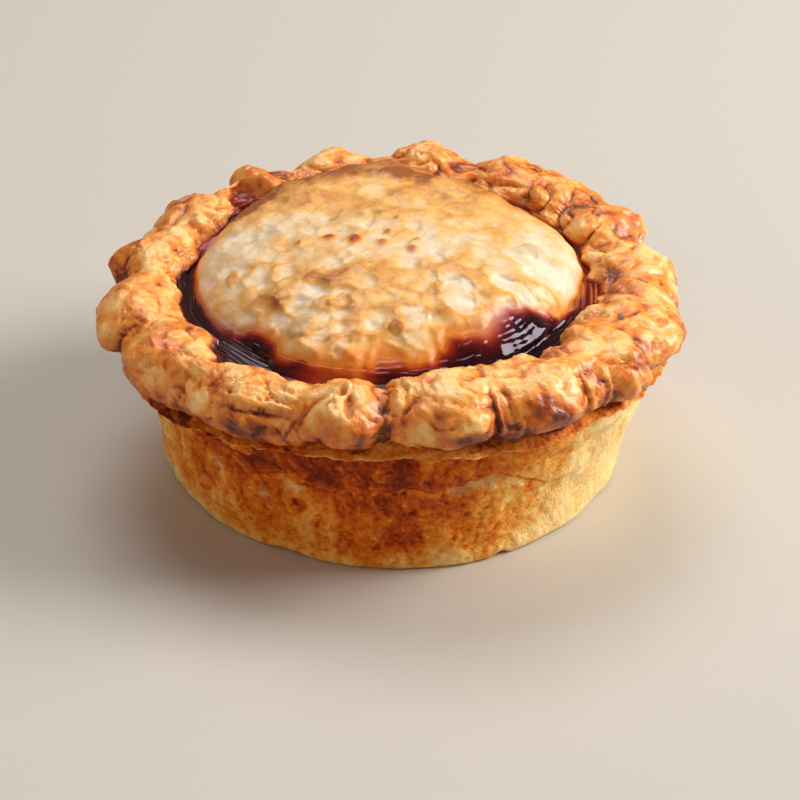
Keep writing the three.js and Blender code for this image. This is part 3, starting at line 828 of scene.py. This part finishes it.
def make_syrup(lid_rings):
    # along runs 0 to 1 over the top, from the lid to the rim, and then back underneath
    top = np.linspace(0, 1, SYRUP_RINGS)
    piece = turned("fruit_syrup_pool", [*top, 1.5, 2, 2.5], True, SYRUP_STEPS)
    along, degrees = places(piece)
    moat = moat_at(degrees)
    lid, inner, edge = moat.lid, moat.inner, moat.edge
    ring = upright(degrees, 45, 0)
    start = moat.shore - 2 + 0.5 * rough(ring, 6, 305, 2)
    radius = mix(start, inner + 2.5, np.clip(along, 0, 1))
    p = upright(degrees, radius, SYRUP_LEVEL)

    # Pools climb the lid's edge as a skin that ends in a feather edge, with folds drawn out along the moat
    nowhere = -9  # below everything
    over = np.where(radius > lid - 0.5, nowhere, lid_height(lid_rings, degrees, radius))
    deep = past_shore(p) + 0.5 * rough(ring, 5, 306, 2)
    film = 1.1 * step(deep, -0.6, 5.5) - 0.08
    drift = 0.4 * bumps(p * (1, 1, 0), 18, 310)
    strand = upright(degrees, 2.2, radius + 4 * drift)
    ripple = 0.22 * bumps(strand, 2.6, 301) + 0.2 * bumps(strand, 0.9, 302)
    folds = np.sin(2 * np.pi * (radius + 5 * drift + 0.9 * bumps(strand, 2.6, 303)) / FOLD_WIDTH)
    ripple += 0.15 * folds * step(bumps(p, 9, 304), -0.5, 0.3)
    ripple *= 1 - 0.7 * toward(degrees, 252, 13)
    # Behind, it is dried up, and behind at the left it fills a shallow crease
    crease = toward(degrees, 153, 17)
    dry = 3 * toward(degrees, 105, 36) + 5 * toward(degrees, BACK_GAP, 9)
    level = SYRUP_LEVEL - 0.3 - dry + crease * np.maximum(edge - 2 - SYRUP_LEVEL, 0)
    skin = over + film + ripple * step(deep, 0.5, 4) - dry - 3 * crease
    height = np.maximum(level + (1 - crease) * ripple, skin)
    # Front left, it runs down from the lid's edge to the rim
    downhill = step(turn_from(degrees, 216), 0, 20) * (1 - step(turn_from(degrees, 284), 0, 14))
    bank = edge + 0.9 - 0.75 * (radius - lid + 2) - 6 * (1 - downhill)
    height = np.where(radius > lid - 2, np.maximum(height, bank + 0.2 * ripple), height)
    height += 0.8 * step(along, 0.85, 1) + 1.2 * toward(degrees, 352, 26) * step(deep, 0, 2)
    below = along > 1
    height = np.where(below, MOAT_FLOOR - 1, height)
    radius = np.where(below, mix(inner + 1, start + 1, np.clip(along - 1.5, 0, 1)), radius)
    put(piece, upright(degrees, radius, height))

    # How thin it looks: in pale pools, along the feather edge, which runs out slowly, and at the rim
    pale = 0.57 * toward(degrees, 250, 17) + (0.34 + 0.25 * folds) * toward(degrees, 358, 26)
    pale += 0.5 * crease + 0.3 * toward(degrees, 134, 8)
    run = (3.6 - 2 * toward(degrees, 188, 36) - 2 * toward(degrees, 247, 14) + 4 * toward(degrees, 264, 16)
           + 4 * toward(degrees, 303, 30))
    thin = pale + (1 - pale) * (1 - step(deep, -0.8, run)) + 0.2 * step(radius - inner, -1.4, 0.4) + 0.2 * ripple
    paint(piece, thin=thin, plum=plum_at(degrees))
    return piece


# Materials

def colour(code):
    """An sRGB hex colour as linear red, green, blue and alpha"""
    parts = [int(code[n:n + 2], 16) / 255 for n in (1, 3, 5)]
    return [c / 12.92 if c <= 0.04045 else ((c + 0.055) / 1.055) ** 2.4 for c in parts] + [1]


def add(nodes, kind, inputs=(), stops=(), **settings):
    """Adds a node with its settings, its inputs' values or links, and its colour stops"""
    made = nodes.new("ShaderNode" + kind)
    for name, value in settings.items():
        setattr(made, name, value)
    for place, value in dict(inputs).items():
        if isinstance(value, bpy.types.NodeSocket):
            nodes.id_data.links.new(value, made.inputs[place])
        else:
            made.inputs[place].default_value = value
    for n, (at, code) in enumerate(stops):
        element = made.color_ramp.elements[n] if n < 2 else made.color_ramp.elements.new(at)
        element.position = at
        element.color = colour(code)
    return made


def start_material(name):
    material = bpy.data.materials.new(name)
    material.use_nodes = True
    nodes = material.node_tree.nodes
    nodes.clear()
    return material, nodes


def juice_colour(nodes, depth, oranges, pinks):
    """Fruit juice from thin to deep or back: orange and brown, or pink and plum"""
    orange = add(nodes, "ValToRGB", {"Fac": depth}, oranges).outputs[0]
    pink = add(nodes, "ValToRGB", {"Fac": depth}, pinks).outputs[0]
    plum = add(nodes, "Attribute", attribute_name="plum").outputs["Fac"]
    return add(nodes, "Mix", {0: plum, 6: orange, 7: pink}, data_type="RGBA").outputs[2]


NOISE_SPREAD = {1: 0.3, 2: 0.7}  # most of a noise pattern lies between these


def pastry(name, bakes, mottle, speckle, wrinkle, roughness, gloss, coat):
    """Baked pastry: flour and butter browned from cream to brown in soft patches, with a finely wrinkled skin, matt
    where it is floury and shiny where egg was brushed on"""
    material, nodes = start_material(name)
    place = add(nodes, "TexCoord").outputs["Object"]
    bend = add(nodes, "TexNoise", {"Vector": place, "Scale": 1 / (5 * MM), "Detail": 2.0}).outputs["Color"]
    bent = add(nodes, "VectorMath", {0: bend, 1: [3 * MM] * 3, 2: place}, operation="MULTIPLY_ADD").outputs[0]
    blotch = add(nodes, "TexNoise", {"Vector": bent, "Scale": 1 / (6 * MM), "Detail": 5.0}).outputs[0]
    fine = add(nodes, "TexNoise", {"Vector": bent, "Scale": 1 / (1.2 * MM), "Detail": 5.0, "Roughness": 0.6}).outputs[0]
    grain = add(nodes, "TexNoise", {"Vector": place, "Scale": 1 / (0.5 * MM), "Detail": 3.0}).outputs[0]

    tone = add(nodes, "Attribute", attribute_name="bake").outputs["Fac"]
    for amount, share in ((blotch, mottle), (fine, speckle)):
        shift = add(nodes, "MapRange", {"Value": amount, **NOISE_SPREAD, 3: -share, 4: share}).outputs[0]
        tone = add(nodes, "Math", {0: tone, 1: shift}, operation="ADD").outputs[0]

    # Painted shade from hollows, creases and undersides, and juice in the fork marks, darken the crust
    dark = add(nodes, "Attribute", attribute_name="dark").outputs["Fac"]
    tone = add(nodes, "Math", {0: dark, 1: 0.6, 2: tone}, operation="MULTIPLY_ADD").outputs[0]
    base = add(nodes, "ValToRGB", {"Fac": tone}, bakes).outputs[0]

    # Juice stains from orange or pink to almost black, and thin places look grey
    stain = add(nodes, "Attribute", attribute_name="stain").outputs["Fac"]
    juice = juice_colour(
        nodes, stain,
        [(0, "#efb85e"), (0.3, "#e08a2a"), (0.55, "#b43e0c"), (0.8, "#6a1208"), (1, "#2a0609")],
        [(0, "#e8c0a0"), (0.3, "#cf9684"), (0.55, "#8a3c38"), (0.8, "#480f14"), (1, "#20050a")])
    amount = add(nodes, "MapRange", {"Value": stain, 1: 0.0, 2: 0.35}).outputs[0]
    stained = add(nodes, "Mix", {0: amount, 6: base, 7: juice}, data_type="RGBA").outputs[2]
    window = add(nodes, "Attribute", attribute_name="window").outputs["Fac"]
    thinned = add(nodes, "Math", {0: window, 1: 0.55}, operation="MULTIPLY").outputs[0]
    shade = add(nodes, "Mix", {0: thinned, 6: stained, 7: colour("#c4b492")}, data_type="RGBA").outputs[2]

    height = add(nodes, "Math", {0: fine, 1: 0.5, 2: grain}, operation="MULTIPLY_ADD").outputs[0]
    bump = add(nodes, "Bump", {"Height": height, "Strength": wrinkle, "Distance": 0.8 * MM}).outputs[0]
    shine = add(nodes, "MapRange", {
        "Value": fine, **NOISE_SPREAD, 3: roughness - 0.12, 4: roughness + 0.12}).outputs[0]
    skin = add(nodes, "BsdfPrincipled", {
        "Base Color": shade,
        "Roughness": shine,
        "Specular IOR Level": gloss,
        "Subsurface Weight": 0.2,
        "Subsurface Radius": (1.0, 0.45, 0.2),
        "Subsurface Scale": 2 * MM,
        "Coat Weight": coat,
        "Coat Roughness": 0.22,
        "Normal": bump,
    })
    add(nodes, "OutputMaterial", {"Surface": skin.outputs[0]})
    return material


def boiled_syrup():
    """Fruit juice boiled down with sugar: almost black where it is deep, red to amber where it is thin, wet"""
    material, nodes = start_material("boiled fruit syrup")
    thin = add(nodes, "Attribute", attribute_name="thin").outputs["Fac"]
    base = juice_colour(
        nodes, thin,
        [(0, "#24070b"), (0.25, "#520f0c"), (0.5, "#8a2409"), (0.75, "#bc5c18"), (1, "#d98834")],
        [(0, "#20070e"), (0.25, "#440e15"), (0.5, "#7a2226"), (0.75, "#a45c54"), (1, "#cc9080")])
    shine = add(nodes, "MapRange", {"Value": thin, 1: 0.25, 2: 0.6, 3: 0.07, 4: 0.2}).outputs[0]
    skin = add(nodes, "BsdfPrincipled", {
        "Base Color": base,
        "Roughness": shine,
        "Specular IOR Level": 0.3,
        # Painted light: the lilac specular tint stands in for cool daylight in the reflections
        "Specular Tint": colour("#e6e0ff"),
    })
    add(nodes, "OutputMaterial", {"Surface": skin.outputs[0]})
    return material


# Crust from hardly baked to scorched
RIM_BAKES = [(0, "#fdcf86"), (0.3, "#f4a342"), (0.55, "#e07a20"), (0.8, "#ab4d0c"), (1, "#642604")]
WALL_BAKES = [(0, "#ffdf9c"), (0.25, "#fab652"), (0.5, "#e67e10"), (0.75, "#c04a03"), (1, "#782603")]
LID_BAKES = [(0, "#e6dac8"), (0.25, "#e5ceab"), (0.5, "#e5b264"), (0.75, "#cc8a40"), (1, "#94501a")]

rim = make_rim()
wall = make_wall()
lid, lid_rings = make_lid()
lip = make_lip()
syrup = make_syrup(lid_rings)
rim.data.materials.append(pastry(
    "egg-washed rim crust", RIM_BAKES,
    mottle=0.09, speckle=0.12, wrinkle=0.32, roughness=0.42, gloss=0.38, coat=0.48))
wall.data.materials.append(pastry(
    "tin-baked side crust", WALL_BAKES,
    mottle=0.08, speckle=0.13, wrinkle=0.5, roughness=0.6, gloss=0.18, coat=0.0))
lid.data.materials.append(pastry(
    "flaky lid crust", LID_BAKES,
    mottle=0.08, speckle=0.09, wrinkle=0.13, roughness=0.46, gloss=0.3, coat=0.2))
lip.data.materials.append(pastry(
    "flaky edge crust", RIM_BAKES,
    mottle=0.12, speckle=0.22, wrinkle=0.5, roughness=0.6, gloss=0.18, coat=0.0))
syrup.data.materials.append(boiled_syrup())
for piece in (rim, wall, lid, lip):
    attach(piece, "root")
    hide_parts("pastry_crust")
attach(syrup, "root")
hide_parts("fruit_syrup")


# The stage: a pale floor, soft light from the right and behind, and the camera

bpy.ops.object.select_all(action="DESELECT")
bpy.ops.mesh.primitive_plane_add(size=4)
floor = bpy.context.object
floor.name = "floor"
floor_material, floor_nodes = start_material("pale glazed floor")
floor_skin = add(floor_nodes, "BsdfPrincipled", {"Base Color": colour("#c4c2bd"), "Roughness": 0.5})
add(floor_nodes, "OutputMaterial", {"Surface": floor_skin.outputs[0]})
floor.data.materials.append(floor_material)


PIE_MIDDLE = Vector((0, 0, 0.04))


def soft_light(name, place, size, watts, tint):
    """A square soft light that faces the pie, with its place and size in metres"""
    data = bpy.data.lights.new(name, "AREA")
    data.shape = "SQUARE"
    data.size = size
    data.energy = watts
    data.color = colour(tint)[:3]
    light = bpy.data.objects.new(name, data)
    light.location = place
    light.rotation_euler = (PIE_MIDDLE - Vector(place)).to_track_quat("-Z", "Y").to_euler()
    bpy.context.scene.collection.objects.link(light)


soft_light("key", (1.0, 0.15, 0.68), 0.62, 18.8, "#fdf6ec")
soft_light("back", (-0.15, 0.6, 1.1), 0.7, 7.2, "#fdfaf6")
soft_light("fill", (-0.8, -0.7, 0.45), 0.9, 2.1, "#ffe2c4")

world = bpy.data.worlds.new("room")
world.use_nodes = True
room = world.node_tree.nodes["Background"]
room.inputs["Color"].default_value = colour("#ffeedd")
room.inputs["Strength"].default_value = 0.22
bpy.context.scene.world = world

# The camera stands in front and looks down, as in the photograph
FRAME = 800  # pixels, wide and high
FOCAL = 2900  # in those pixels
BASE_MIDDLE = (397.5, 442.4)  # where the middle of the base falls in the frame
DISTANCE = 0.7199  # metres from there
ELEVATION = math.radians(31.76)
ROLL = math.radians(1.4)
SENSOR = 36
camera_data = bpy.data.cameras.new("camera")
camera_data.sensor_width = SENSOR
camera_data.lens = FOCAL / FRAME * SENSOR
camera = bpy.data.objects.new("camera", camera_data)
tilt = math.radians(90) - ELEVATION + math.atan((BASE_MIDDLE[1] - FRAME / 2) / FOCAL)
turn = math.atan((BASE_MIDDLE[0] - FRAME / 2) / FOCAL) / math.cos(ELEVATION)
camera.matrix_world = (
    Matrix.Translation((0, -DISTANCE * math.cos(ELEVATION), DISTANCE * math.sin(ELEVATION)))
    @ Matrix.Rotation(turn, 4, "Z")
    @ Matrix.Rotation(tilt, 4, "X")
    @ Matrix.Rotation(ROLL, 4, "Z")
)
bpy.context.scene.collection.objects.link(camera)
bpy.context.scene.camera = camera
bpy.context.scene.view_settings.view_transform = "Standard"
